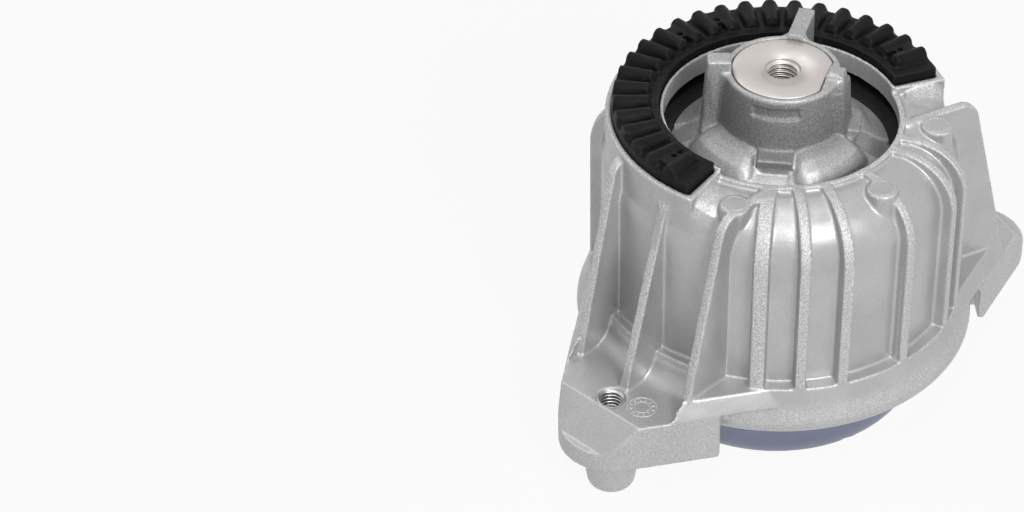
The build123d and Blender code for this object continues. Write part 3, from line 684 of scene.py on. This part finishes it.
def tick(angle):
    """A small rounded bar of the dial that runs outward."""
    inner, outer = tick_ends
    spans = [(inner, 0.5), (inner + tick_half_width, 1.0), (outer - tick_half_width, 1.0), (outer, 0.5)]
    points = []
    for distance, share in spans:
        x, y = polar(distance, angle)
        half = tick_half_width * share
        dx, dy = polar(half, angle + 90)
        for side, up in tick_section:
            place = (dial_centre[0] + x + side * dx, dial_centre[1] + y + side * dy)
            points.append((*place, ear_top_z + tick_rise + up * half))
    return skin(points, len(tick_section), "dial_tick")


dial_z = ear_top_z + dial_ring_rise
cast_rings = [ring(dial_centre, dial_z, reach, dial_ring_r, "dial_ring") for reach in dial_ring_reaches]
cast_rings += [tick(360 / tick_count * number) for number in range(tick_count)]
for distance, angle, radius in ejector_marks:
    ring_reach = radius - ejector_ring_inset
    cast_rings.append(ring(polar(distance, angle), ejector_mark_z, ring_reach, ejector_ring_r, "mark_ring"))
put(joined(cast_rings, "cast_rings"), "cast_rings", housing_metal)


# Stage: pale floor and white surroundings
def seen_rays(tree):
    """One for rays that should see plain white: the camera's, reflections and refractions."""
    path = tree.nodes.new("ShaderNodeLightPath")
    total = path.outputs["Is Camera Ray"]
    for name in ("Is Glossy Ray", "Is Transmission Ray"):
        larger = tree.nodes.new("ShaderNodeMath")
        larger.operation = "MAXIMUM"
        tree.links.new(total, larger.inputs[0])
        tree.links.new(path.outputs[name], larger.inputs[1])
        total = larger.outputs[0]
    return total


def show_mix(tree, share, first, second, output):
    """Sends a mix of two shaders to a tree's output."""
    node = tree.nodes.new("ShaderNodeMixShader")
    tree.links.new(share, node.inputs[0])
    tree.links.new(first.outputs[0], node.inputs[1])
    tree.links.new(second.outputs[0], node.inputs[2])
    tree.links.new(node.outputs[0], tree.nodes[output].inputs["Surface"])


def floor_white(glow_share):
    """Pale floor that seen rays find nearly white, by a share of plain glow."""
    material, tree, surface = shader("floor_white")
    surface.inputs["Base Color"].default_value = (0.8, 0.8, 0.8, 1)
    surface.inputs["Roughness"].default_value = 0.9
    glow = tree.nodes.new("ShaderNodeEmission")
    glow.inputs["Color"].default_value = (1, 1, 1, 1)
    share = tree.nodes.new("ShaderNodeMath")
    share.operation = "MULTIPLY"
    share.inputs[1].default_value = glow_share
    tree.links.new(seen_rays(tree), share.inputs[0])
    show_mix(tree, share.outputs[0], surface, glow, "Material Output")
    return material


def white_world(ambient_strength):
    """World that seen rays find white, and that lights the part only faintly."""
    world = bpy.data.worlds.new("studio")
    bpy.context.scene.world = world
    world.use_nodes = True
    tree = world.node_tree
    ambient = tree.nodes["Background"]
    ambient.inputs["Color"].default_value = (1, 1, 1, 1)
    ambient.inputs["Strength"].default_value = ambient_strength
    white = tree.nodes.new("ShaderNodeBackground")
    white.inputs["Color"].default_value = (1, 1, 1, 1)
    white.inputs["Strength"].default_value = 1.0
    show_mix(tree, seen_rays(tree), ambient, white, "World Output")


floor_reach = 6.0
floor_corners = [(x * floor_reach, y * floor_reach, 0) for x, y in ((-1, -1), (1, -1), (1, 1), (-1, 1))]
floor_mesh = bpy.data.meshes.new("floor")
floor_mesh.from_pydata(floor_corners, [], [(0, 1, 2, 3)])
floor = bpy.data.objects.new("floor", floor_mesh)
bpy.context.scene.collection.objects.link(floor)
floor_mesh.materials.append(floor_white(glow_share=0.93))
white_world(ambient_strength=0.03)

# Soft studio lamps: places in metres, angles in degrees, power in watts
lamp_middle = Vector((0, 0, 0.06))
lamp_distance = 1.1


def lamp(name, azimuth, elevation, size, power):
    data = bpy.data.lights.new(name, "AREA")
    data.size = size
    data.energy = power
    light = bpy.data.objects.new(name, data)
    x, y = polar(lamp_distance * cos(radians(elevation)), azimuth)
    light.location = lamp_middle + Vector((x, y, lamp_distance * sin(radians(elevation))))
    light.rotation_euler = (lamp_middle - light.location).to_track_quat("-Z", "Y").to_euler()
    bpy.context.scene.collection.objects.link(light)


lamp("front_lamp", azimuth=-104, elevation=36, size=0.35, power=5.35)
lamp("side_lamp", azimuth=-142, elevation=56, size=0.35, power=1.6)
lamp("back_lamp", azimuth=90, elevation=50, size=0.5, power=1.2)
lamp("top_lamp", azimuth=-126, elevation=85, size=0.5, power=1.5)

# Camera at the photograph's viewing angle
camera_data = bpy.data.cameras.new("camera")
camera_data.sensor_width = 36.0
camera_data.lens = 116.35
camera_data.clip_start = 0.05
camera_data.clip_end = 30.0
camera = bpy.data.objects.new("camera", camera_data)
eye = Vector((-0.52949, -0.59326, 0.67382))
forward = Vector((0.46021, 0.63432, -0.62116)).normalized()
upward = Vector((0.3796, 0.49188, 0.78355))
sideways = forward.cross(upward).normalized()
upward = sideways.cross(forward)
camera.matrix_world = Matrix.Translation(eye) @ Matrix((sideways, upward, -forward)).transposed().to_4x4()
bpy.context.scene.collection.objects.link(camera)
bpy.context.scene.camera = camera
bpy.context.scene.view_settings.view_transform = "Standard"
